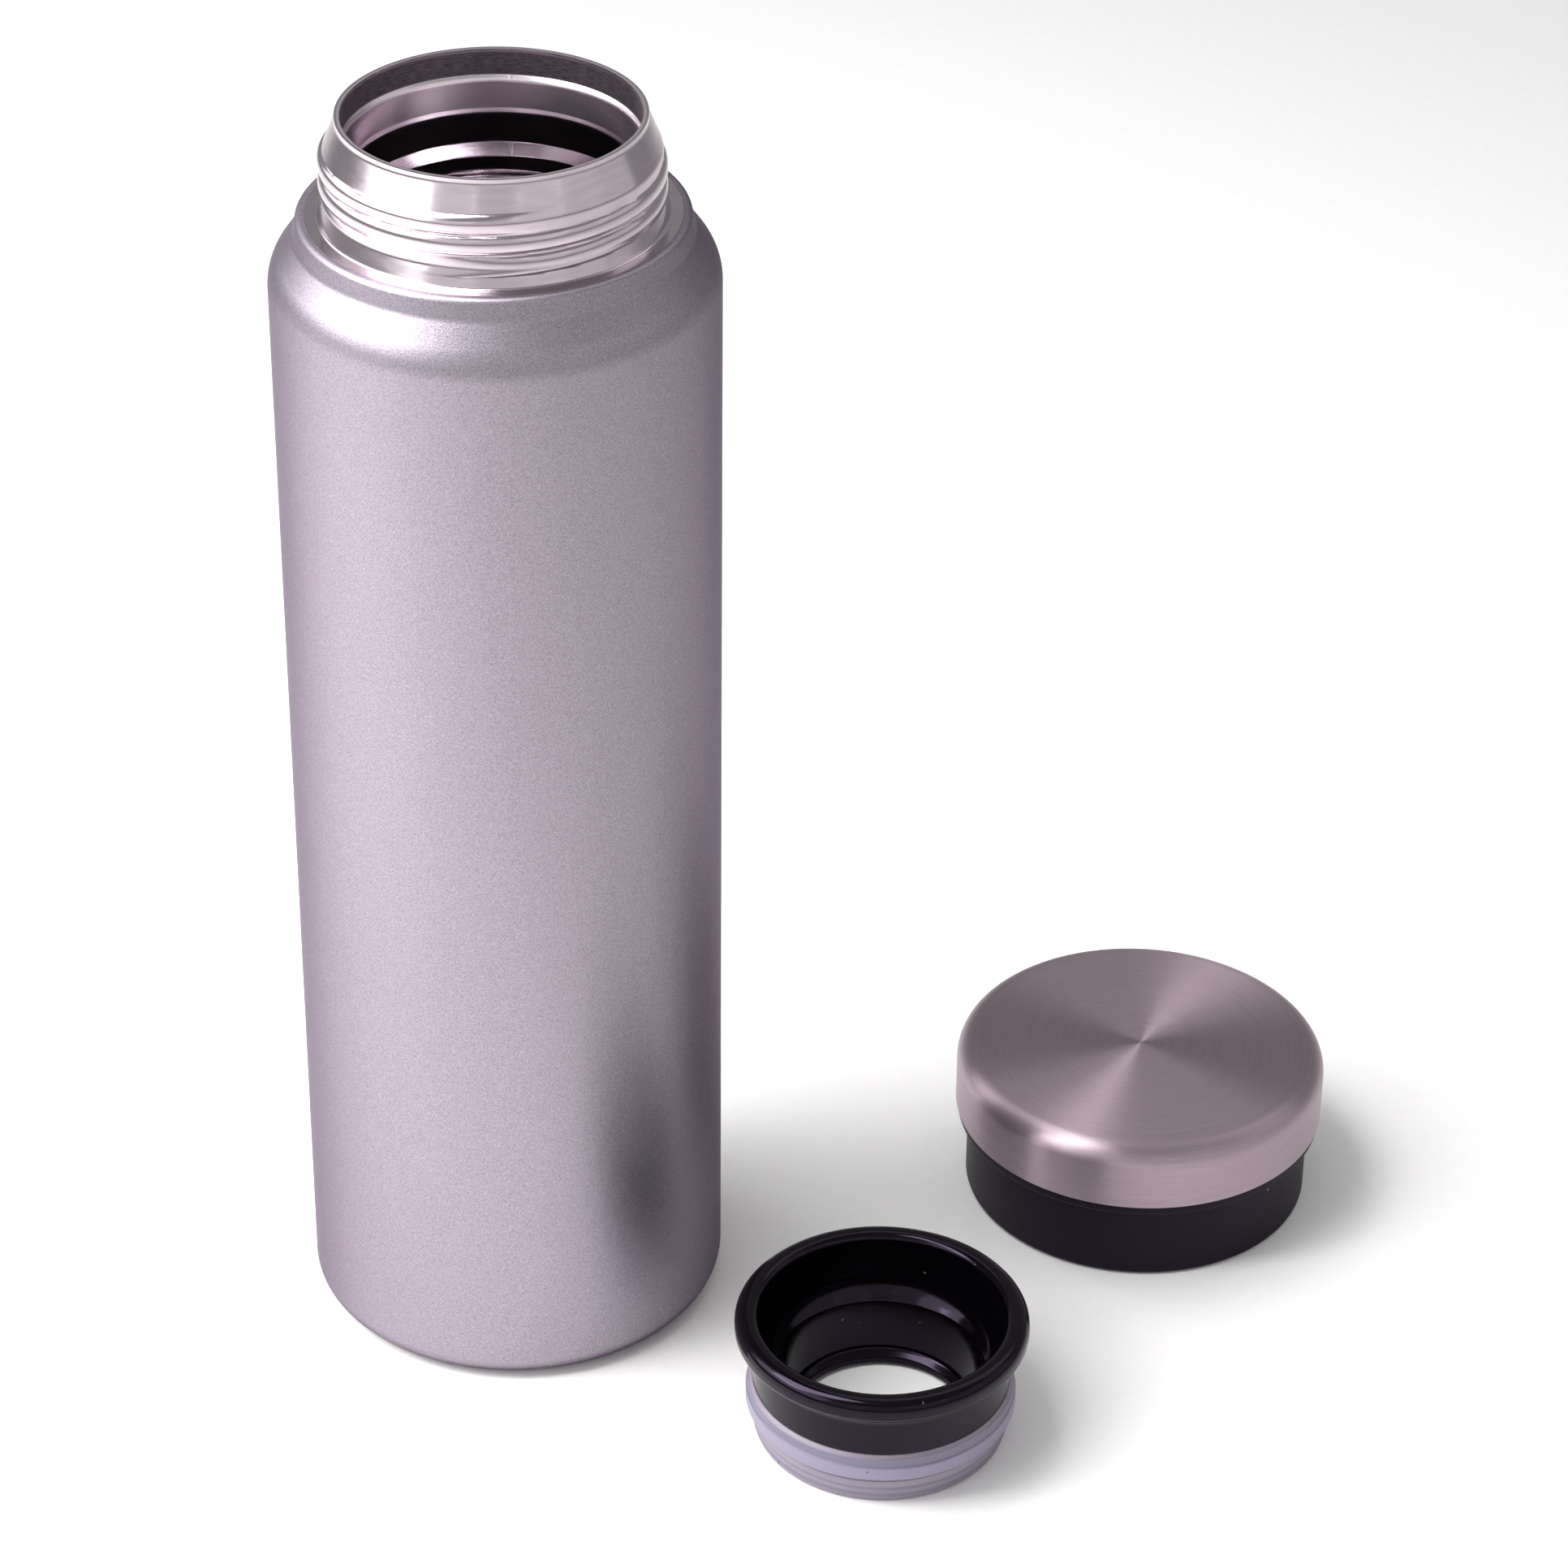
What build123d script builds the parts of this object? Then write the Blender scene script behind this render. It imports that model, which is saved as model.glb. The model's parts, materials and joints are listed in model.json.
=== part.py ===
from build123d import *
import math
import os

# Vacuum flask with a screw lid and a push-in pour ring.
# Millimetres, +Z up. The origin is the centre of the flask's base, on the surface it stands on.
# The flask stands open at the origin. The lid and the pour ring stand beside it on the same surface.

# ---- driving dimensions ----
BODY_RADIUS = 32.5            # outside of the flask's body
SHELF_HEIGHT = 186.2          # flat shelf round the foot of the neck, the seat of the lid's skirt
RIM_HEIGHT = 201.4            # drinking rim
RIM_RADIUS = 22.1             # outside of the rim
SHELL_SHEET = 0.5             # outer shell and base sheet
CAP_SHEET = 0.3               # lid cap sheet
NECK_SHEET = 0.35             # threaded neck sheet
LINER_SHEET = 0.4             # inner vessel sheet
LINER_RADIUS = 29.4           # inside of the vessel
MOUTH_RADIUS = 20.5           # wall that the pour ring's seal presses on
THROAT_RADIUS = 19.75         # narrowest place of the mouth
SHELL_JOINT = 9.0             # height of the weld between shell and outer base
LINER_JOINT = 20.0            # height of the weld between liner and liner base
LINER_FLOOR = 10.0            # inside floor of the vessel
FINISH_RADIUS = 26.9          # weld on the shelf, where neck meets shell

THREAD_PITCH = 3.15
THREAD_ROOT = 24.15           # neck radius between the threads
THREAD_HEIGHT = 0.6           # how far the neck's thread stands out
THREAD_TURNS = 2.15
THREAD_START = 189.0          # height of the lower end of the neck's thread
THREAD_START_ANGLE = -117.0   # degrees from +X, seen from above

LID_CENTRE = (101.7, 18.3)
LID_RADIUS = 29.86            # outside of the steel cap
LID_SKIRT_RADIUS = 27.82
LID_BORE = 25.25              # inside of the skirt
LID_EDGE = 14.85              # lower edge of the steel cap
LID_CEILING = 20.4            # underside of the lid's top wall
LID_TOP = 25.5                # edge of the crown, before its slight dome
LID_DOME = 0.5
CROWN_RADIUS = 600.0          # arc of the slight dome
LID_THREAD_TURNS = 1.4
LID_THREAD_START = 2.2

RING_CENTRE = (55.6, -43.9)
RING_HEIGHT = 21.0
RING_LIP_RADIUS = 22.6
RING_BODY_RADIUS = 19.93
RING_TUBE_RADIUS = 17.2       # the lower tube, which carries the seal
SEAL_HEIGHT = 9.3
SEAL_RADIUS = 20.8            # free radius of the sealing lip, 0.3 over the mouth it presses on
SLIDING_GAP = 0.1             # radial and axial clearance of pieces that come apart by hand


def turned(*corners, centre=(0, 0)):
    """Solid of revolution. Each corner is (radius, height, fillet) of a closed outline."""
    points = [(radius, height) for radius, height, _ in corners]
    fillets = [fillet_radius for _, _, fillet_radius in corners]
    outline = FilletPolyline(*points, radius=fillets, close=True)
    solid = revolve(Plane.XZ * make_face(outline), Axis.Z)
    return Pos(*centre, 0) * solid


def pressed(*corners, sheet, side, centre=(0, 0)):
    """Sheet pressed to a turned shape. The corners follow one face, the sheet lies to its side."""
    points = [(radius, height) for radius, height, _ in corners]
    fillets = [fillet_radius for _, _, fillet_radius in corners[1:-1]]
    face_line = FilletPolyline(*points, radius=fillets)
    section = make_face(offset(face_line, amount=sheet, kind=Kind.INTERSECTION, side=side))
    solid = revolve(Plane.XZ * section, Axis.Z)
    return Pos(*centre, 0) * solid


def thread_ridge(root, height, half_width, start, turns, start_angle, inward=False):
    """Rounded helical ridge whose two ends sink smoothly into the wall of radius root."""
    out = -1 if inward else 1
    fade = math.radians(50)
    sweep_angle = math.radians(360 * turns)
    steps = round(turns * 16)
    points = []
    for step in range(steps + 1):
        angle = sweep_angle * step / steps
        from_end = min(angle, sweep_angle - angle)
        sunk = height * (1 + math.cos(math.pi * min(from_end / fade, 1))) / 2
        radius = root - out * sunk
        turn = angle + math.radians(start_angle)
        rise = start + THREAD_PITCH * angle / (2 * math.pi)
        points.append((radius * math.cos(turn), radius * math.sin(turn), rise))
    path = Spline(*points)
    buried = 0.3
    flank = Polyline((-out * buried, -half_width), (0, -half_width))
    crest = ThreePointArc((0, -half_width), (out * height, 0), (0, half_width))
    back = Polyline((0, half_width), (-out * buried, half_width), (-out * buried, -half_width))
    section = make_face(Curve() + [flank, crest, back])
    turn = math.radians(start_angle)
    outward = Vector(math.cos(turn), math.sin(turn), 0)
    across = Vector(-math.sin(turn), math.cos(turn), 0)
    start_plane = Plane(origin=path @ 0, x_dir=outward, z_dir=-across)
    return sweep(start_plane * section, path=path, is_frenet=True)


# ---- flask ----

def outer_shell():
    """Bead-blasted outer skin: body, rounded shoulder and the collar round the neck."""
    shoulder_corner = 177.9
    crease = (28.75, 183.1)
    return pressed(
        (BODY_RADIUS, SHELL_JOINT, 0),
        (BODY_RADIUS, shoulder_corner, 8.0),
        (*crease, 1.8),
        (28.1, SHELF_HEIGHT, 0.9),
        (FINISH_RADIUS, SHELF_HEIGHT, 0),
        sheet=SHELL_SHEET, side=Side.LEFT)


def outer_base():
    """Cup that closes the shell: rounded edge, narrow foot ring, and a dimple for evacuation."""
    foot_inner = 28.0
    web = 0.65
    dimple = 2.6
    return pressed(
        (BODY_RADIUS, SHELL_JOINT, 0),
        (BODY_RADIUS, 0, 3.7),
        (foot_inner, 0, 0.2),
        (foot_inner, web, 0.1),
        (8.0, web, 1.0),
        (5.5, dimple, 1.0),
        (1.0, dimple, 0),
        sheet=SHELL_SHEET, side=Side.RIGHT)


def base_cover():
    """Flat disc glued over the evacuation dimple, flush with the foot ring."""
    return turned((0, 0, 0), (27.8, 0, 0.15), (27.8, 0.6, 0.1), (0, 0.6, 0))


def vacuum_seal():
    """Bead that plugs the evacuation hole from below."""
    return turned((0, 1.5, 0), (1.6, 1.5, 0.5), (2.7, 2.6, 0), (0.95, 2.6, 0), (0.95, 3.3, 0.2), (0, 3.3, 0))


def threaded_neck():
    """Polished neck: rolled thread on the outside, foot spread to the shelf."""
    skin = pressed(
        (FINISH_RADIUS, SHELF_HEIGHT, 0),
        (25.15, SHELF_HEIGHT, 0.5),
        (THREAD_ROOT, 189.0, 1.6),
        (THREAD_ROOT, 195.9, 2.0),
        (RIM_RADIUS, 200.7, 1.4),
        (RIM_RADIUS, RIM_HEIGHT, 0),
        sheet=NECK_SHEET, side=Side.LEFT)
    ridge = thread_ridge(THREAD_ROOT, THREAD_HEIGHT, 1.2, THREAD_START, THREAD_TURNS, THREAD_START_ANGLE)
    inside_of_skin = Pos(0, 0, SHELF_HEIGHT) * Cylinder(THREAD_ROOT - NECK_SHEET, 40)
    return skin + (ridge - inside_of_skin)


def inner_liner():
    """Inner vessel: brushed lip band, rolled ledge, seal wall, narrow throat, shoulder, straight wall."""
    lip = RIM_RADIUS - NECK_SHEET - LINER_SHEET
    return pressed(
        (lip, RIM_HEIGHT, 0),
        (lip, 197.4, 0.1),
        (20.9, 196.75, 1.6),
        (20.65, 192.5, 0.8),
        (MOUTH_RADIUS, 191.9, 0.8),
        (MOUTH_RADIUS, 187.2, 0.8),
        (THROAT_RADIUS, 185.2, 1.0),
        (THROAT_RADIUS, 182.6, 1.5),
        (27.4, 178.6, 5.0),
        (LINER_RADIUS, 173.5, 3.0),
        (LINER_RADIUS, LINER_JOINT, 0),
        sheet=LINER_SHEET, side=Side.LEFT)


def liner_base():
    """Rounded bottom cup of the inner vessel."""
    return pressed(
        (LINER_RADIUS, LINER_JOINT, 0),
        (LINER_RADIUS, LINER_FLOOR, 8.0),
        (0, LINER_FLOOR, 0),
        sheet=LINER_SHEET, side=Side.LEFT)


def copper_foil():
    """Foil wrapped round the vessel to turn back radiant heat."""
    inner = LINER_RADIUS + LINER_SHEET
    return turned((inner, 28, 0), (inner + 0.12, 28, 0), (inner + 0.12, 168, 0), (inner, 168, 0))


GETTER_CENTRE = (11.0, 0)
GETTER_RADIUS = 4.0
GETTER_BOTTOM = 6.6
GETTER_TOP = 8.9


def getter():
    """Gas-absorbing pellet under the vessel."""
    height = GETTER_TOP - GETTER_BOTTOM
    return Pos(*GETTER_CENTRE, GETTER_BOTTOM) * Cylinder(
        GETTER_RADIUS, height, align=(Align.CENTER, Align.CENTER, Align.MIN))


def getter_clip():
    """Strap under the pellet, with two feet spot-welded to the vessel's bottom."""
    thickness = 0.3
    wall = GETTER_RADIUS + 0.15
    foot = wall + 3.0
    under = LINER_FLOOR - LINER_SHEET
    low = GETTER_BOTTOM - thickness
    strap = Polyline(
        (-foot, under - thickness), (-wall - thickness, under - thickness), (-wall - thickness, low),
        (wall + thickness, low), (wall + thickness, under - thickness), (foot, under - thickness),
        (foot, under), (wall, under), (wall, GETTER_BOTTOM),
        (-wall, GETTER_BOTTOM), (-wall, under), (-foot, under), close=True)
    width = 4.0
    solid = extrude(Plane.XZ * make_face(strap), width / 2, both=True)
    return Pos(*GETTER_CENTRE, 0) * solid


# ---- lid ----

def lid_cap_shell():
    """Brushed steel cap with a rounded edge and a very slight dome."""
    return pressed(
        (LID_RADIUS, LID_EDGE, 0),
        (LID_RADIUS, LID_TOP, 3.3),
        (LID_RADIUS * 0.45, LID_TOP + LID_DOME, CROWN_RADIUS),
        (0, LID_TOP + LID_DOME, 0),
        sheet=CAP_SHEET, side=Side.LEFT, centre=LID_CENTRE)


def lid_body():
    """Black threaded cup: skirt, flange inside the steel cap, and a top wall with a central hole."""
    flange = LID_RADIUS - CAP_SHEET
    flange_bottom = 13.0
    plate_top = LID_CEILING + 1.5
    cup = turned(
        (LID_SKIRT_RADIUS, 0, 0.7),
        (LID_SKIRT_RADIUS, flange_bottom, 0.5),
        (flange, flange_bottom, 0.6),
        (flange, plate_top, 0),
        (17.4, plate_top, 0),
        (17.4, LID_CEILING, 0),
        (LID_BORE, LID_CEILING, 0.6),
        (LID_BORE, 1.6, 0.4),
        (25.7, 0, 0.3),
        centre=LID_CENTRE)
    ridge = thread_ridge(LID_BORE, 0.8, 1.0, LID_THREAD_START, LID_THREAD_TURNS, 60, inward=True)
    return cup + Pos(*LID_CENTRE, 0) * ridge


def lid_inner_cover():
    """Plug in the lid's top wall. Its lip holds the gasket's inner edge."""
    lip_bottom = 17.9
    return turned(
        (0, lip_bottom + 0.6, 0),
        (15.5, lip_bottom + 0.6, 0.4),
        (16.2, lip_bottom, 0.3),
        (18.4, lip_bottom, 0.3),
        (18.4, 18.5, 0.2),
        (17.8, 18.6, 0),
        (17.8, LID_CEILING, 0),
        (17.4, LID_CEILING, 0),
        (17.4, LID_CEILING + 1.5, 0),
        (0, LID_CEILING + 1.5, 0),
        centre=LID_CENTRE)


def lid_insulation():
    """Foam disc between the lid's top wall and the steel cap."""
    bottom = LID_CEILING + 1.5
    return turned((0, bottom, 0), (29.0, bottom, 0), (29.0, 23.2, 1.0), (26.6, 25.0, 1.0), (0, 25.0, 0),
                  centre=LID_CENTRE)


def lid_gasket():
    """Silicone ring under the lid's top wall. Its bead presses on the pour ring's lip."""
    inner = 17.8 + SLIDING_GAP
    top = LID_CEILING - SLIDING_GAP
    return turned(
        (inner, 18.9, 0.1),
        (19.3, 18.9, 0),
        (19.9, 18.5, 0.2),
        (21.1, 18.5, 0.2),
        (21.7, 18.9, 0),
        (24.0, 18.9, 0.3),
        (24.0, top, 0.2),
        (inner, top, 0.1),
        centre=LID_CENTRE)


# ---- pour ring ----

def pour_ring():
    """Glossy funnel that pushes into the mouth: rolled lip, stepped bore, tube for the seal."""
    body_bottom = SEAL_HEIGHT + SLIDING_GAP
    tube_bottom = 0.4
    return turned(
        (RING_TUBE_RADIUS, tube_bottom, 0.3),
        (RING_TUBE_RADIUS, body_bottom, 0),
        (RING_BODY_RADIUS, body_bottom, 0.15),
        (RING_BODY_RADIUS, 16.2, 2.5),
        (RING_LIP_RADIUS, 17.9, 0.9),
        (RING_LIP_RADIUS, RING_HEIGHT, 1.9),
        (19.1, RING_HEIGHT, 1.3),
        (17.7, 12.4, 6.0),
        (15.9, 10.4, 0.8),
        (14.5, 2.4, 1.4),
        (13.2, 1.5, 0.5),
        (13.0, tube_bottom, 0.2),
        centre=RING_CENTRE)


def ring_seal():
    """Silicone seal round the pour ring's tube: one broad sealing lip over finer ribs."""
    bore = RING_TUBE_RADIUS + SLIDING_GAP
    return turned(
        (bore, 0, 0.15),
        (19.3, 0, 0.4),
        (19.65, 1.2, 0.4),
        (19.45, 2.0, 0.3),
        (19.7, 2.8, 0.3),
        (19.6, 3.8, 0.2),
        (19.2, 4.4, 0.2),
        (SEAL_RADIUS, 5.0, 0.4),
        (SEAL_RADIUS, 7.2, 0.3),
        (SEAL_RADIUS - 0.25, 7.5, 0.2),
        (SEAL_RADIUS - 0.3, 8.8, 0.2),
        (RING_BODY_RADIUS, SEAL_HEIGHT, 0.1),
        (bore, SEAL_HEIGHT, 0.1),
        centre=RING_CENTRE)


PIECES = (
    outer_shell, outer_base, base_cover, vacuum_seal, threaded_neck, inner_liner, liner_base,
    copper_foil, getter, getter_clip,
    lid_cap_shell, lid_body, lid_inner_cover, lid_insulation, lid_gasket,
    pour_ring, ring_seal,
)

os.makedirs("parts", exist_ok=True)
for piece in PIECES:
    export_step(piece(), f"parts/{piece.__name__}.step")
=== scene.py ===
import json
import math

import bmesh
import bpy
from mathutils import Matrix, Vector


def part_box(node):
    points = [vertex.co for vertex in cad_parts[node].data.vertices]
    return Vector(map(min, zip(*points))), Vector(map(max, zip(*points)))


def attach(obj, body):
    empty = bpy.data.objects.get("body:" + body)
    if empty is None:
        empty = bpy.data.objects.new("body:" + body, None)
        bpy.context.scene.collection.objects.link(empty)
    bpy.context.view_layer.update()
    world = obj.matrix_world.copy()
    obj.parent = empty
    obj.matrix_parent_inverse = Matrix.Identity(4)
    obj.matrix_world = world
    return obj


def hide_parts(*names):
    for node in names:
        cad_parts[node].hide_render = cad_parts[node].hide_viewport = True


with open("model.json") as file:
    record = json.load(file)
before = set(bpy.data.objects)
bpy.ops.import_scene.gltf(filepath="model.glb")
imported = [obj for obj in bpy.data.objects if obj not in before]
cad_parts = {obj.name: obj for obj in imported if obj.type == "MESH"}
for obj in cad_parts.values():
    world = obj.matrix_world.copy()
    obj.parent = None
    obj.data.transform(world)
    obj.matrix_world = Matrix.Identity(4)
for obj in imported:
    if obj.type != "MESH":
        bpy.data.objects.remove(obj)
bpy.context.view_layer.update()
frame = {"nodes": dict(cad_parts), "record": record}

MM = 0.001
AROUND = 256                      # facets round a turned piece
NECK_AROUND = 384                 # facets round the neck, for its thread
SHARP_EDGE = math.radians(40)

# Sizes shared by several pieces, in mm
SHELL_SHEET = 0.5
NECK_SHEET = 0.35
LINER_SHEET = 0.4
CAP_SHEET = 0.3
FINISH_RADIUS = 26.9              # weld on the shelf, where neck meets shell
THREAD_ROOT = 24.15               # neck radius between the threads
RIM_RADIUS = 22.1
PITCH = 3.15
BAND_BOTTOM = 197.4               # lower edge of the liner's brushed lip band
SEAT_TOP = 191.9                  # upper edge of the wall that the pour ring seals on
RING_WALL = 19.93                 # outside of the pour ring above its seal


# ---- places, all read from the frame ----

def axis_of(node):
    """Where a turned node's upright axis stands."""
    low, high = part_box(node)
    return Vector(((low.x + high.x) / 2, (low.y + high.y) / 2, 0))


def radius_of(node):
    low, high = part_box(node)
    return (high.x - low.x) / 2


def top_of(node):
    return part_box(node)[1].z


def bottom_of(node):
    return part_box(node)[0].z


# ---- turned outlines ----

def rounded(corners, closed, bend_steps=10):
    """Points of an outline of (radius, height, fillet) corners in mm, each fillet an arc."""
    points = []
    count = len(corners)
    for index, (radius, height, fillet) in enumerate(corners):
        here = Vector((radius, height))
        if fillet == 0 or (not closed and index in (0, count - 1)):
            points.append(here)
            continue
        before = Vector(corners[index - 1][:2]) - here
        after = Vector(corners[(index + 1) % count][:2]) - here
        before.normalize()
        after.normalize()
        half = before.angle(after) / 2
        reach = fillet / math.tan(half)
        middle = (before + after).normalized()
        centre = here + middle * (fillet / math.sin(half))
        start = here + before * reach - centre
        turn = start.angle_signed(here + after * reach - centre)
        for step in range(bend_steps + 1):
            angle = -turn * step / bend_steps
            cos, sin = math.cos(angle), math.sin(angle)
            points.append(centre + Vector((start.x * cos - start.y * sin, start.x * sin + start.y * cos)))
    return points


def thickened(points, sheet, side):
    """Closed outline of a sheet: the points of one face, then the other face beside it."""
    other = []
    for index, here in enumerate(points):
        back = points[max(index - 1, 0)]
        ahead = points[min(index + 1, len(points) - 1)]
        along = (ahead - back).normalized()
        other.append(here + Vector((-along.y, along.x)) * sheet * side)
    return points + other[::-1]


def spaced(points, closed, longest):
    """The same outline with long straight stretches divided."""
    result = []
    count = len(points)
    for index in range(count if closed else count - 1):
        here, ahead = points[index], points[(index + 1) % count]
        parts = max(1, math.ceil((ahead - here).length / longest))
        for part in range(parts):
            result.append(here.lerp(ahead, part / parts))
    if not closed:
        result.append(points[-1])
    return result


def turned_piece(name, outline, node, material, ridge=None, around=AROUND):
    """Mesh turned from a closed outline in mm, standing on its node's axis and replacing that node.
    ridge(angle, radius, height) gives how far a point stands out of the plain wall, in mm."""
    mesh = bpy.data.meshes.new(name)
    work = bmesh.new()
    on_axis = [abs(point.x) < 1e-6 for point in outline]
    rings = []
    for point, centred in zip(outline, on_axis):
        if centred:
            rings.append([work.verts.new((0, 0, point.y * MM))] * around)
            continue
        ring = []
        for step in range(around):
            angle = 2 * math.pi * step / around
            radius = point.x + (ridge(angle, point.x, point.y) if ridge else 0)
            place = (radius * MM * math.cos(angle), radius * MM * math.sin(angle), point.y * MM)
            ring.append(work.verts.new(place))
        rings.append(ring)
    closed = not (on_axis[0] and on_axis[-1])
    for index in range(len(rings) if closed else len(rings) - 1):
        low, high = rings[index], rings[(index + 1) % len(rings)]
        for step in range(around):
            ahead = (step + 1) % around
            corners = []
            for vert in (low[step], low[ahead], high[ahead], high[step]):
                if vert not in corners:
                    corners.append(vert)
            if len(corners) > 2:
                work.faces.new(corners)
    bmesh.ops.recalc_face_normals(work, faces=work.faces)
    for face in work.faces:
        face.smooth = True
    work.to_mesh(mesh)
    work.free()
    mesh.set_sharp_from_angle(angle=SHARP_EDGE)
    piece = bpy.data.objects.new(name, mesh)
    piece.location = axis_of(node)
    bpy.context.scene.collection.objects.link(piece)
    weighted = piece.modifiers.new("even normals", "WEIGHTED_NORMAL")
    weighted.mode = "FACE_AREA"
    weighted.weight = 100
    weighted.keep_sharp = True
    mesh.materials.append(material)
    body = next(body for body, nodes in frame["record"]["behaviour"]["bodies"].items() if node in nodes)
    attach(piece, body)
    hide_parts(node)


# ---- materials ----

class Nodes:
    """Short way to write a material's node tree."""

    def __init__(self, name):
        self.material = bpy.data.materials.new(name)
        self.material.use_nodes = True
        self.tree = self.material.node_tree
        self.shader = self.tree.nodes["Principled BSDF"]
        self.object_point = self.add("ShaderNodeTexCoord").outputs["Object"]

    def add(self, kind, **values):
        node = self.tree.nodes.new(kind)
        for key, value in values.items():
            setattr(node, key, value)
        return node

    def wire(self, source, target):
        self.tree.links.new(source, target)
        return target

    def put(self, socket, value):
        if isinstance(value, bpy.types.NodeSocket):
            self.wire(value, socket)
        else:
            socket.default_value = value

    def calc(self, operation, first, second=0.0, third=0.0):
        node = self.add("ShaderNodeMath", operation=operation)
        for socket, value in zip(node.inputs, (first, second, third)):
            self.put(socket, value)
        return node.outputs[0]

    def scaled(self, vector, factors):
        node = self.add("ShaderNodeVectorMath", operation="MULTIPLY")
        self.put(node.inputs[0], vector)
        node.inputs[1].default_value = factors
        return node.outputs[0]

    def noise(self, vector, scale, detail=2.0, roughness=0.5):
        node = self.add("ShaderNodeTexNoise")
        self.put(node.inputs["Vector"], vector)
        node.inputs["Scale"].default_value = scale
        node.inputs["Detail"].default_value = detail
        node.inputs["Roughness"].default_value = roughness
        return node.outputs["Fac"]

    def range(self, value, low, high, to_low, to_high):
        node = self.add("ShaderNodeMapRange")
        self.put(node.inputs[0], value)
        for socket, number in zip(list(node.inputs)[1:5], (low, high, to_low, to_high)):
            socket.default_value = number
        return node.outputs[0]

    def blend(self, factor, first, second):
        node = self.add("ShaderNodeMix", data_type="RGBA")
        self.put(node.inputs["Factor"], factor)
        self.put(node.inputs[6], first)
        self.put(node.inputs[7], second)
        return node.outputs[2]

    def bump(self, height, strength, distance, below=None):
        node = self.add("ShaderNodeBump")
        node.inputs["Strength"].default_value = strength
        node.inputs["Distance"].default_value = distance
        self.put(node.inputs["Height"], height)
        if below is not None:
            self.wire(below, node.inputs["Normal"])
        return node.outputs[0]

    def polar(self):
        """(radius, angle, height) of the point, measured from the piece's own axis."""
        parts = self.add("ShaderNodeSeparateXYZ")
        self.wire(self.object_point, parts.inputs[0])
        x, y, z = parts.outputs
        radius = self.calc("SQRT", self.calc("ADD", self.calc("MULTIPLY", x, x), self.calc("MULTIPLY", y, y)))
        return radius, self.calc("ARCTAN2", y, x), z

    def join(self, x, y, z):
        node = self.add("ShaderNodeCombineXYZ")
        for socket, value in zip(node.inputs, (x, y, z)):
            self.put(socket, value)
        return node.outputs[0]

    def set(self, **values):
        for key, value in values.items():
            self.put(self.shader.inputs[key.replace("_", " ")], value)


def blasted_steel():
    """Bead-blasted stainless steel: fine sparkling grain over a soft lavender grey."""
    n = Nodes("blasted steel")
    grain = n.noise(n.object_point, 7000, 2.0, 0.6)
    speck = n.noise(n.object_point, 4300, 1.0, 0.5)
    cloud = n.noise(n.object_point, 28, 3.0)
    tone = n.calc("MULTIPLY_ADD", speck, 0.5, n.calc("MULTIPLY", grain, 0.5))
    tone = n.range(tone, 0.36, 0.64, 0.0, 1.0)
    colour = n.blend(tone, (0.245, 0.215, 0.253, 1), (0.400, 0.353, 0.414, 1))
    rough = n.calc("ADD", n.range(grain, 0.3, 0.7, 0.39, 0.46), n.range(cloud, 0.3, 0.7, -0.015, 0.015))
    bump = n.bump(grain, 0.35, 0.00005, n.bump(speck, 0.3, 0.00006))
    n.set(Base_Color=colour, Metallic=1.0, Roughness=rough, Normal=bump)
    n.set(Specular_Tint=(0.30, 0.27, 0.31, 1))
    return n.material


def polished_steel():
    """Polished neck: bright, with faint turning lines and slightly uneven reflections."""
    n = Nodes("polished steel")
    _, angle, height = n.polar()
    lines = n.noise(n.join(0.0, n.calc("MULTIPLY", angle, 0.002), height), 5200, 3.0, 0.6)
    wave = n.noise(n.scaled(n.object_point, (1, 1, 2.5)), 75, 2.0)
    smear = n.noise(n.scaled(n.object_point, (1, 1, 6)), 160, 4.0)
    colour = n.blend(n.range(smear, 0.35, 0.7, 0, 1), (0.58, 0.505, 0.550, 1), (0.51, 0.440, 0.480, 1))
    rough = n.calc("ADD", n.range(smear, 0.3, 0.75, 0.12, 0.20), n.range(lines, 0.3, 0.7, 0.0, 0.04))
    bump = n.bump(lines, 0.06, 0.00002, n.bump(wave, 0.12, 0.0003))
    n.set(Base_Color=colour, Metallic=1.0, Roughness=rough, Normal=bump)
    return n.material


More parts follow.
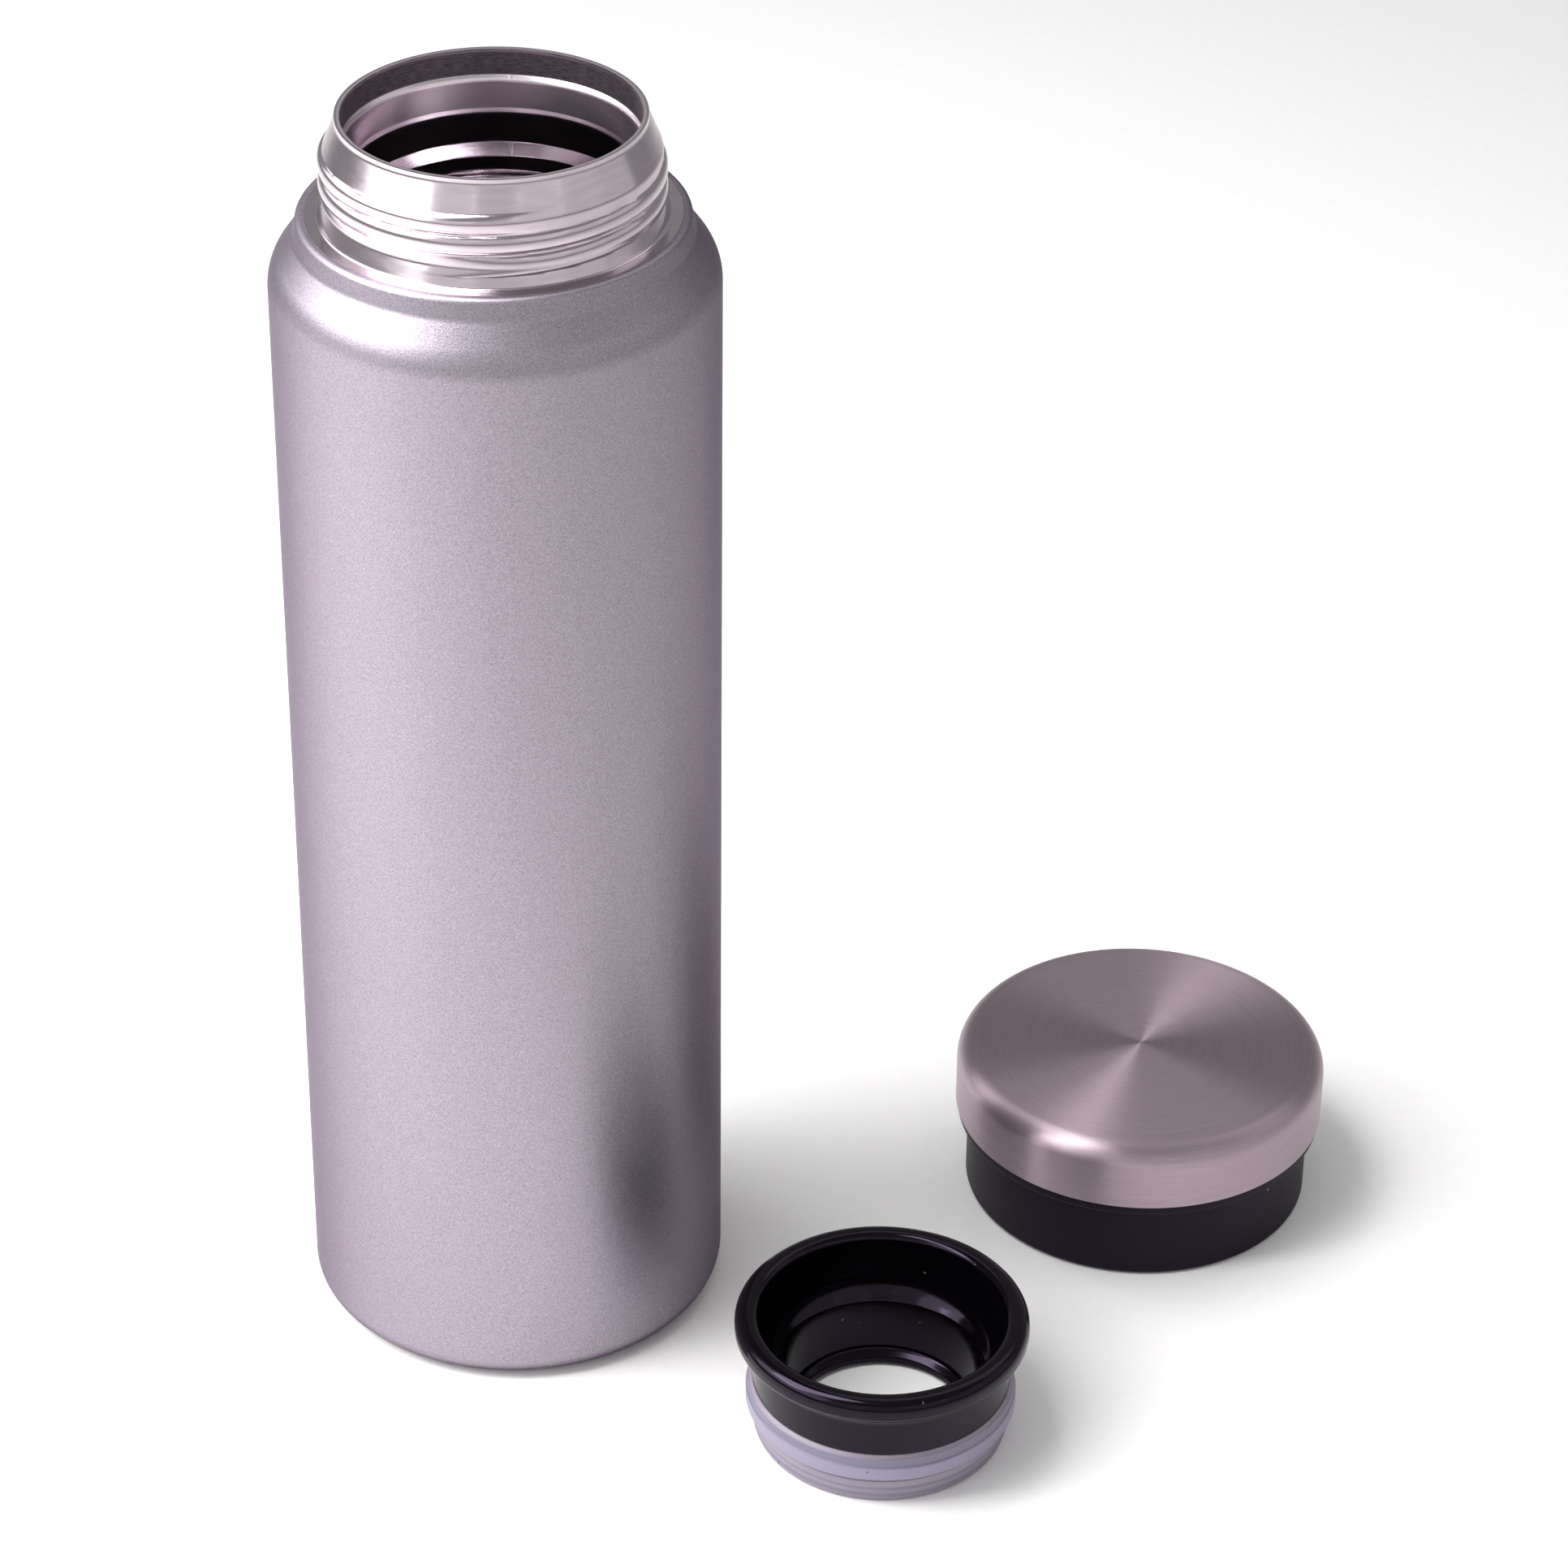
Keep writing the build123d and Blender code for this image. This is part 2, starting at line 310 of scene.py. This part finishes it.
def liner_steel(band_top):
    """Drawn liner: coarse brushed band at the lip, its steel colour darkened with painted shade of the dark
    interior it reflects, polished seal wall, faint lengthwise weld seam.
    """
    n = Nodes("liner steel")
    _, angle, height = n.polar()
    band_bottom = BAND_BOTTOM * MM
    seat_top = SEAT_TOP * MM
    lines = n.noise(n.join(0.0, n.calc("MULTIPLY", angle, 0.0035), height), 4200, 4.0, 0.7)
    streak = n.noise(n.join(0.0, n.calc("MULTIPLY", angle, 0.02), height), 900, 3.0, 0.6)
    smear = n.noise(n.scaled(n.object_point, (1, 1, 3)), 55, 1.5)
    band = n.calc("MULTIPLY",
                 n.range(height, band_bottom - 0.0001, band_bottom + 0.0002, 0, 1),
                 n.range(height, band_top - 0.0006, band_top - 0.0002, 1, 0))
    above_seat = n.range(height, seat_top - 0.0005, seat_top + 0.0003, 0, 1)
    seam_angle = math.radians(83)
    off_seam = n.calc("ABSOLUTE", n.calc("SUBTRACT", angle, seam_angle))
    seam = n.range(off_seam, 0.004, 0.016, 1, 0)
    # The brushed band's dark colour is painted shade, the reflection of the dark interior, laid over the real
    # brushed lines.
    brushed = n.blend(n.range(lines, 0.3, 0.7, 0, 1), (0.11, 0.090, 0.101, 1), (0.32, 0.275, 0.300, 1))
    satin = n.blend(n.range(smear, 0.35, 0.7, 0, 1), (0.72, 0.64, 0.70, 1), (0.68, 0.60, 0.655, 1))
    colour = n.blend(band, satin, brushed)
    satin_rough = n.calc("MULTIPLY_ADD", above_seat, 0.15, n.range(smear, 0.3, 0.7, 0.10, 0.12))
    rough = n.calc("MULTIPLY_ADD", band, 0.12, satin_rough)
    fine = n.calc("MULTIPLY", lines, n.range(band, 0, 1, 0.10, 1.0))
    bump = n.bump(fine, 0.5, 0.00006, n.bump(seam, 0.35, 0.00008, n.bump(streak, 0.03, 0.00008)))
    n.set(Base_Color=colour, Metallic=1.0, Roughness=rough, Normal=bump)
    return n.material


def brushed_cap():
    """Circular-brushed steel: fine rings, each a little brighter or duller than the next."""
    n = Nodes("brushed cap")
    radius, angle, height = n.polar()
    arc = n.calc("MULTIPLY", angle, 0.0008)
    fine = n.noise(n.join(radius, arc, height), 8000, 3.0, 0.65)
    broad = n.noise(n.join(radius, n.calc("MULTIPLY", angle, 0.0004), height), 2400, 2.0)
    tone = n.calc("MULTIPLY_ADD", broad, 0.4, n.calc("MULTIPLY", fine, 0.6))
    colour = n.blend(n.range(tone, 0.35, 0.65, 0, 1), (0.380, 0.300, 0.342, 1), (0.435, 0.345, 0.392, 1))
    rough = n.range(fine, 0.3, 0.7, 0.34, 0.40)
    bump = n.bump(fine, 0.10, 0.00004)
    tangent = n.add("ShaderNodeTangent", direction_type="RADIAL", axis="Z")
    n.set(Base_Color=colour, Metallic=1.0, Roughness=rough, Normal=bump, Tangent=tangent.outputs[0])
    n.set(Anisotropic=0.90)
    n.set(Anisotropic_Rotation=0.25)
    return n.material


def matt_plastic():
    """Fine matt black polypropylene with a scatter of dust."""
    n = Nodes("matt black plastic")
    grain = n.noise(n.object_point, 2600, 3.0, 0.6)
    cloud = n.noise(n.object_point, 60, 3.0)
    dust = n.range(n.noise(n.object_point, 620, 1.0), 0.80, 0.83, 0, 1)
    colour = n.blend(n.range(cloud, 0.3, 0.7, 0, 1), (0.0048, 0.0026, 0.0060, 1), (0.0070, 0.0040, 0.0085, 1))
    colour = n.blend(dust, colour, (0.16, 0.15, 0.17, 1))
    rough = n.calc("ADD", n.range(grain, 0.3, 0.7, 0.42, 0.52), n.range(cloud, 0.3, 0.7, -0.03, 0.03))
    n.set(Base_Color=colour, Roughness=rough, Normal=n.bump(grain, 0.25, 0.00004))
    n.set(Specular_IOR_Level=0.18)
    n.set(Specular_Tint=(0.80, 0.61, 1.0, 1))
    return n.material


def gloss_plastic():
    """Glossy black polypropylene: faint flow lines and dust."""
    n = Nodes("gloss black plastic")
    _, angle, height = n.polar()
    flow = n.noise(n.join(0.0, n.calc("MULTIPLY", angle, 0.004), height), 1500, 3.0)
    cloud = n.noise(n.object_point, 90, 3.0)
    dust = n.range(n.noise(n.object_point, 700, 1.0), 0.81, 0.84, 0, 1)
    colour = n.blend(dust, (0.0010, 0.0006, 0.0012, 1), (0.12, 0.11, 0.13, 1))
    rough = n.calc("ADD", n.range(cloud, 0.3, 0.7, 0.10, 0.16), n.range(flow, 0.3, 0.7, -0.02, 0.02))
    n.set(Base_Color=colour, Roughness=rough, Normal=n.bump(flow, 0.05, 0.00005))
    n.set(Specular_IOR_Level=0.24)
    n.set(Specular_Tint=(0.82, 0.64, 1.0, 1))
    return n.material


def silicone():
    """Translucent lavender silicone in bands up its height: it darkens where it is thin over the black tube,
    and its dark bands also hold painted shade in the recessed band above the lip and in the groove. Faint
    dust.
    """
    n = Nodes("silicone")
    _, angle, height = n.polar()
    wobble = n.noise(n.join(0.0, n.calc("MULTIPLY", angle, 0.0015), height), 900, 2.0)
    level = n.calc("ADD", height, n.range(wobble, 0.3, 0.7, -0.0001, 0.0001))
    ramp = n.add("ShaderNodeValToRGB")
    n.wire(n.range(level, 0.0, 0.010, 0.0, 1.0), ramp.inputs[0])
    pink = (0.296, 0.252, 0.318)
    blue = (0.266, 0.237, 0.333)
    # dark and the groove colour: darker where the silicone is thin over the black tube, plus painted shade in
    # the recess above the lip and in the groove.
    dark = (0.178, 0.163, 0.229)
    groove_thin_and_painted_shade = (0.11, 0.104, 0.148)
    bands = [
        (0.00, pink), (0.13, dark), (0.19, pink), (0.24, dark), (0.30, pink), (0.37, pink),
        (0.42, groove_thin_and_painted_shade), (0.48, groove_thin_and_painted_shade), (0.53, blue), (0.70, blue), (0.745, dark), (0.87, dark),
        (0.905, pink),
    ]
    while len(ramp.color_ramp.elements) < len(bands):
        ramp.color_ramp.elements.new(0.5)
    for stop, (place, colour) in zip(ramp.color_ramp.elements, bands):
        stop.position = place
        stop.color = (*colour, 1)
    cloud = n.noise(n.object_point, 110, 3.0)
    dust = n.range(n.noise(n.object_point, 520, 1.0), 0.76, 0.79, 0, 1)
    colour = n.blend(dust, ramp.outputs[0], (0.07, 0.06, 0.08, 1))
    rough = n.range(cloud, 0.3, 0.7, 0.40, 0.52)
    n.set(Base_Color=colour, Roughness=rough, Normal=n.bump(cloud, 0.05, 0.0002))
    n.set(Subsurface_Weight=0.2)
    n.set(Subsurface_Radius=(0.0010, 0.0009, 0.0012))
    n.set(Subsurface_Scale=1.0)
    return n.material


def spun_steel():
    """Satin steel with concentric turning marks, for the flask's underside."""
    n = Nodes("spun steel")
    radius, angle, height = n.polar()
    rings = n.noise(n.join(radius, n.calc("MULTIPLY", angle, 0.002), height), 3600, 3.0, 0.6)
    colour = n.blend(n.range(rings, 0.35, 0.65, 0, 1), (0.42, 0.40, 0.43, 1), (0.58, 0.56, 0.59, 1))
    n.set(Base_Color=colour, Metallic=1.0, Roughness=n.range(rings, 0.3, 0.7, 0.28, 0.4),
          Normal=n.bump(rings, 0.2, 0.00005))
    return n.material


def speckled(name, dark, light, scale, metallic, rough, grain):
    """Plain finish for the hidden pieces: mottled colour, uneven gloss and a fine grain."""
    n = Nodes(name)
    mottle = n.noise(n.object_point, scale, 4.0, 0.6)
    fine = n.noise(n.object_point, scale * 8, 2.0)
    n.set(Base_Color=n.blend(n.range(mottle, 0.3, 0.7, 0, 1), dark, light), Metallic=metallic,
          Roughness=n.range(mottle, 0.3, 0.7, rough * 0.8, rough * 1.2), Normal=n.bump(fine, grain, 0.0001))
    return n.material


# ---- the flask ----

BLASTED = blasted_steel()


def build_shell():
    radius = radius_of("outer_shell") / MM
    shelf = top_of("outer_shell") / MM
    joint = bottom_of("outer_shell") / MM
    face = rounded([
        (radius, joint, 0),
        (radius, shelf - 8.3, 8.0),
        (radius - 3.75, shelf - 3.1, 1.8),
        (28.1, shelf, 0.9),
        (FINISH_RADIUS, shelf, 0),
    ], closed=False, bend_steps=24)
    outline = spaced(thickened(face, SHELL_SHEET, 1), True, 4.0)
    turned_piece("shell", outline, "outer_shell", BLASTED)


def build_base():
    radius = radius_of("outer_base") / MM
    joint = top_of("outer_base") / MM
    seat = 28.0
    seat_depth = 0.65
    dimple_top = 2.6
    face = rounded([
        (radius, joint, 0),
        (radius, 0, 3.7),
        (seat, 0, 0.2),
        (seat, seat_depth, 0.1),
        (8.0, seat_depth, 1.0),
        (5.5, dimple_top, 1.0),
        (1.0, dimple_top, 0),
    ], closed=False)
    outline = spaced(thickened(face, SHELL_SHEET, -1), True, 3.0)
    turned_piece("base", outline, "outer_base", BLASTED)


def build_base_cover():
    radius = radius_of("base_cover") / MM
    top = top_of("base_cover") / MM
    outline = rounded([
        (0, 0, 0),
        (radius, 0, 0.15),
        (radius, top, 0.1),
        (0, top, 0),
    ], closed=False, bend_steps=5)
    turned_piece("bottom_disc", spaced(outline, False, 2.0), "base_cover", spun_steel())


def thread_shape(root, height, half_width, start, turns, start_angle):
    """ridge() of a helical thread: rounded across, sinking into the wall at both ends."""
    full = 2 * math.pi * turns
    fade = math.radians(50)
    power = 0.6

    def ridge(angle, radius, level):
        if abs(radius - root) > 1.2:
            return 0
        best = 0
        lap = (angle - start_angle) % (2 * math.pi)
        while lap <= full:
            across = (level - start - PITCH * lap / (2 * math.pi)) / half_width
            if abs(across) < 1:
                from_end = min(lap, full - lap) / fade
                grown = (1 - math.cos(math.pi * min(from_end, 1))) / 2
                best = max(best, grown * height * (1 - across * across) ** power)
            lap += 2 * math.pi
        return best
    return ridge


def build_neck():
    shelf_edge = radius_of("threaded_neck") / MM
    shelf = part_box("outer_shell")[1].z / MM
    rim = top_of("threaded_neck") / MM
    thread_start = 189.0
    thread_top = 195.9
    face = rounded([
        (shelf_edge, shelf, 0),
        (25.15, shelf, 0.5),
        (THREAD_ROOT, thread_start, 1.6),
        (THREAD_ROOT, thread_top, 2.0),
        (RIM_RADIUS, 200.7, 1.4),
        (RIM_RADIUS, rim, 0),
    ], closed=False, bend_steps=14)
    outline = spaced(thickened(face, NECK_SHEET, 1), True, 0.12)
    thread = thread_shape(
        root=THREAD_ROOT, height=0.6, half_width=1.42, start=thread_start, turns=2.15,
        start_angle=math.radians(-117))

    def outside_only(angle, radius, level):
        outside = radius > THREAD_ROOT - 0.1 or level > thread_top + 0.1
        return thread(angle, radius, level) if outside else 0
    turned_piece("neck", outline, "threaded_neck", polished_steel(), ridge=outside_only, around=NECK_AROUND)


def build_liner():
    rim = top_of("inner_liner") / MM
    joint = bottom_of("inner_liner") / MM
    radius = radius_of("inner_liner") / MM - LINER_SHEET
    lip = 21.35
    mouth = 20.5
    throat = 19.75
    face = rounded([
        (lip, rim, 0),
        (lip, BAND_BOTTOM, 0.1),
        (20.9, 196.75, 1.6),
        (20.65, 192.5, 0.8),
        (mouth, SEAT_TOP, 0.8),
        (mouth, 187.2, 0.8),
        (throat, 185.2, 1.0),
        (throat, 182.6, 1.5),
        (27.4, 178.6, 5.0),
        (radius, 173.5, 3.0),
        (radius, joint, 0),
    ], closed=False, bend_steps=12)
    outline = spaced(thickened(face, LINER_SHEET, 1), True, 3.0)
    turned_piece("liner", outline, "inner_liner", liner_steel(rim * MM))


# ---- the lid ----

def build_cap():
    radius = radius_of("lid_cap_shell") / MM
    edge = bottom_of("lid_cap_shell") / MM
    top = top_of("lid_cap_shell") / MM
    dome = 0.5
    face = rounded([
        (radius, edge, 0),
        (radius, top - dome, 3.3),
        (radius * 0.45, top, 600.0),
        (0, top, 0),
    ], closed=False, bend_steps=20)
    outline = spaced(thickened(face, CAP_SHEET, 1), False, 1.5)
    turned_piece("lid_cap", outline, "lid_cap_shell", brushed_cap())


def build_lid_body(material):
    bore = 25.25
    skirt = 27.82
    flange = radius_of("lid_body") / MM
    flange_bottom = 13.0
    plug_seat = 17.4
    plate_top = top_of("lid_body") / MM
    ceiling = plate_top - 1.5
    outline = rounded([
        (skirt, 0, 0.7),
        (skirt, flange_bottom, 0.5),
        (flange, flange_bottom, 0.6),
        (flange, plate_top, 0.1),
        (plug_seat, plate_top, 0.1),
        (plug_seat, ceiling, 0.1),
        (bore, ceiling, 0.6),
        (bore, 1.6, 0.4),
        (25.7, 0, 0.3),
    ], closed=True, bend_steps=7)
    thread = thread_shape(
        root=bore, height=0.8, half_width=1.0, start=2.2, turns=1.4, start_angle=math.radians(60))

    def inward(angle, radius, level):
        return -thread(angle, radius, level) if radius < bore + 0.02 else 0
    turned_piece("lid_skirt", spaced(outline, True, 0.3), "lid_body", material, ridge=inward)


# ---- the pour ring ----

def build_ring():
    seal_top = 9.4
    tube = 17.2
    foot = bottom_of("pour_ring") / MM
    top = top_of("pour_ring") / MM
    lip = radius_of("pour_ring") / MM
    outline = rounded([
        (tube, foot, 0.3),
        (tube, seal_top, 0.05),
        (RING_WALL, seal_top, 0.15),
        (RING_WALL, 16.2, 2.5),
        (lip, 17.9, 0.9),
        (lip, top, 1.9),
        (19.1, top, 1.3),
        (17.7, 12.4, 6.0),
        (15.9, 10.4, 0.8),
        (14.5, 2.4, 1.4),
        (13.2, 1.5, 0.5),
        (13.0, foot, 0.2),
    ], closed=True, bend_steps=12)
    turned_piece("funnel", spaced(outline, True, 1.0), "pour_ring", gloss_plastic())


def build_seal(material):
    bore = 17.3
    lip = radius_of("ring_seal") / MM
    top = top_of("ring_seal") / MM
    outline = rounded([
        (bore, 0, 0.15),
        (19.3, 0, 0.4),
        (19.65, 1.2, 0.4),
        (19.45, 2.0, 0.3),
        (19.7, 2.8, 0.3),
        (19.6, 3.8, 0.2),
        (19.2, 4.4, 0.2),
        (lip, 5.0, 0.4),
        (lip, 7.2, 0.3),
        (lip - 0.25, 7.5, 0.2),
        (lip - 0.3, 8.8, 0.2),
        (RING_WALL, top, 0.1),
        (bore, top, 0.1),
    ], closed=True, bend_steps=7)
    turned_piece("seal", spaced(outline, True, 1.0), "ring_seal", material)


build_shell()
build_base()
build_base_cover()
build_neck()
build_liner()
build_cap()
MATT = matt_plastic()
build_lid_body(MATT)
build_ring()
SILICONE = silicone()
build_seal(SILICONE)

HIDDEN = {
    # speckled(name, dark, light, scale, metallic, rough, grain)
    "liner_base": speckled(
        "liner base steel", (0.50, 0.47, 0.49, 1), (0.62, 0.59, 0.61, 1), 200, 1.0, 0.22, 0.1),
    "vacuum_seal": speckled(
        "sealing bead", (0.10, 0.11, 0.11, 1), (0.22, 0.23, 0.24, 1), 900, 0.0, 0.2, 0.1),
    "copper_foil": speckled(
        "copper foil", (0.60, 0.30, 0.20, 1), (0.80, 0.45, 0.32, 1), 150, 1.0, 0.3, 0.4),
    "getter": speckled("getter powder", (0.05, 0.05, 0.055, 1), (0.14, 0.14, 0.15, 1), 2500, 0.3, 0.8, 0.5),
    "getter_clip": speckled(
        "spring strap", (0.45, 0.44, 0.45, 1), (0.60, 0.59, 0.60, 1), 400, 1.0, 0.3, 0.1),
    "lid_insulation": speckled("foam", (0.70, 0.69, 0.64, 1), (0.85, 0.84, 0.79, 1), 1200, 0.0, 0.9, 0.6),
    "lid_inner_cover": MATT,
    "lid_gasket": SILICONE,
}
for node, material in HIDDEN.items():
    frame["nodes"][node].data.materials.clear()
    frame["nodes"][node].data.materials.append(material)


# ---- studio ----

def area_light(name, place, aim, width, height, power):
    light = bpy.data.lights.new(name, "AREA")
    light.shape = "RECTANGLE"
    light.size = width
    light.size_y = height
    light.energy = power
    holder = bpy.data.objects.new(name, light)
    holder.location = place
    holder.rotation_euler = (Vector(aim) - Vector(place)).to_track_quat("-Z", "Y").to_euler()
    bpy.context.scene.collection.objects.link(holder)


FLOOR_HALF = 3.0
FLOOR_DROP = 0.0002               # the floor lies a hair under the object, so faces don't flicker


def build_floor():
    mesh = bpy.data.meshes.new("floor")
    work = bmesh.new()
    bmesh.ops.create_grid(work, x_segments=8, y_segments=8, size=FLOOR_HALF)
    work.to_mesh(mesh)
    work.free()
    floor = bpy.data.objects.new("floor", mesh)
    floor.location = (0, 0, -FLOOR_DROP)
    bpy.context.scene.collection.objects.link(floor)
    n = Nodes("pale paper")
    fibre = n.noise(n.object_point, 400, 3.0)
    n.set(Base_Color=n.blend(fibre, (0.90, 0.89, 0.885, 1), (0.94, 0.93, 0.925, 1)), Roughness=0.8)
    mesh.materials.append(n.material)
    return floor


build_floor()

SUBJECT = Vector((0.04, 0.0, 0.08))
SOFTBOX_DISTANCE = 0.9


def softbox(name, bearing, elevation, width, height, power):
    """Area light aimed at the subject. Bearing is in degrees: 0 is the camera's side, -90 the left."""
    turn, lift = math.radians(bearing), math.radians(elevation)
    away = Vector((math.cos(lift) * math.sin(turn), -math.cos(lift) * math.cos(turn), math.sin(lift)))
    area_light(name, SUBJECT + away * SOFTBOX_DISTANCE, SUBJECT, width, height, power)


SOFTBOXES = (
    # name, bearing, elevation, width, height, power
    ("left back", -120, 28, 0.46, 0.45, 1.2),
    ("left", -90, 28, 0.46, 0.45, 2.3),
    ("left front", -60, 28, 0.46, 0.45, 1.9),
    ("front left", -30, 24, 0.46, 0.56, 0.52),
    ("front", 0, 24, 0.46, 0.56, 0.38),
    ("front right", 30, 24, 0.46, 0.56, 0.45),
    ("right front", 60, 24, 0.46, 0.56, 0.35),
    ("right", 90, 24, 0.46, 0.56, 0.30),
    ("high left", -90, 62, 0.8, 0.4, 0.6),
    ("high back", 180, 62, 1.5, 0.4, 1.7),
)
for box in SOFTBOXES:
    softbox(*box)
area_light("left floor wash", (-0.33, -0.06, 0.5), (-0.28, -0.05, 0.0), width=0.3, height=0.6, power=5.4)


def build_world():
    world = bpy.data.worlds.new("studio")
    world.use_nodes = True
    background = world.node_tree.nodes["Background"]
    background.inputs["Color"].default_value = (1.0, 1.0, 1.0, 1)
    background.inputs["Strength"].default_value = 0.34
    bpy.context.scene.world = world
    bpy.context.scene.view_settings.view_transform = "Standard"


build_world()


# ---- camera ----

CAMERA_PLACE = (0.00815, -0.64364, 0.49954)
CAMERA_YAW, CAMERA_PITCH, CAMERA_ROLL = 0.0526, 0.5674, 0.0105


def build_camera():
    camera = bpy.data.cameras.new("camera")
    camera.sensor_width = 36.0
    camera.lens = 115.0
    camera.clip_start = 0.05
    holder = bpy.data.objects.new("camera", camera)
    yaw, pitch, roll = CAMERA_YAW, CAMERA_PITCH, CAMERA_ROLL
    forward = Vector((math.sin(yaw) * math.cos(pitch), math.cos(yaw) * math.cos(pitch), -math.sin(pitch)))
    level = Vector((math.cos(yaw), -math.sin(yaw), 0))
    upright = level.cross(forward)
    right = level * math.cos(roll) + upright * math.sin(roll)
    up = upright * math.cos(roll) - level * math.sin(roll)
    turn = Matrix((right, up, -forward)).transposed()
    holder.matrix_world = Matrix.Translation(CAMERA_PLACE) @ turn.to_4x4()
    bpy.context.scene.collection.objects.link(holder)
    bpy.context.scene.camera = holder


build_camera()
